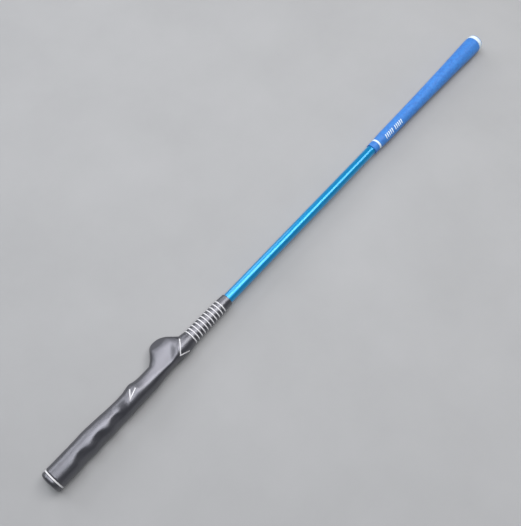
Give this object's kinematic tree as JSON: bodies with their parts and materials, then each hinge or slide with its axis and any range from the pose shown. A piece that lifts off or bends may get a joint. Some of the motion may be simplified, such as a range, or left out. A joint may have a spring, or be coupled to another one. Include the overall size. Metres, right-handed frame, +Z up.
{
  "type": "golf swing trainer stick",
  "caption": "Straight practice stick: steel shaft with a moulded training grip with a thumb wing on one end and a tapered round grip on the other.",
  "frame": {"origin": "centre of the training grip cap's end face, on the shaft's axis", "axes": "+X along the shaft from the training grip to the round grip; +Z up with the stick lying on the floor; the wing points to +Y"},
  "size_m": [0.891, 0.0468, 0.0302],
  "materials": {
    "blue_lacquer": "gloss",
    "black_rubber": "satin",
    "blue_rubber": "satin",
    "white_enamel": "satin",
    "black_nylon": "satin",
    "plain_steel": "brushed",
    "grey_foam": "matte",
    "grip_tape": "matte"
  },
  "bodies": {
    "root": {"shaft_tube": "blue_lacquer", "shaft_plug_training_end": "black_nylon", "shaft_plug_weighted_end": "black_nylon", "counterweight_bar": "plain_steel", "counterweight_inner_stop": "grey_foam", "counterweight_end_cushion": "grey_foam", "training_grip_sleeve": "black_rubber", "training_grip_cap": "black_rubber", "training_grip_butt_ring": "white_enamel", "training_grip_v_mark_small": "white_enamel", "training_grip_v_mark_large": "white_enamel", "training_grip_tape": "grip_tape", "round_grip_sleeve": "blue_rubber", "round_grip_cap": "blue_rubber", "round_grip_butt_ring": "white_enamel", "round_grip_mouth_band": "white_enamel", "round_grip_tape": "grip_tape", "training_grip_neck_ring_01": "white_enamel", "training_grip_neck_ring_02": "white_enamel", "training_grip_neck_ring_03": "white_enamel", "training_grip_neck_ring_04": "white_enamel", "training_grip_neck_ring_05": "white_enamel", "training_grip_neck_ring_06": "white_enamel", "training_grip_neck_ring_07": "white_enamel", "training_grip_neck_ring_08": "white_enamel", "training_grip_neck_ring_09": "white_enamel", "training_grip_neck_ring_10": "white_enamel", "training_grip_neck_ring_11": "white_enamel"}
  },
  "joints": []
}
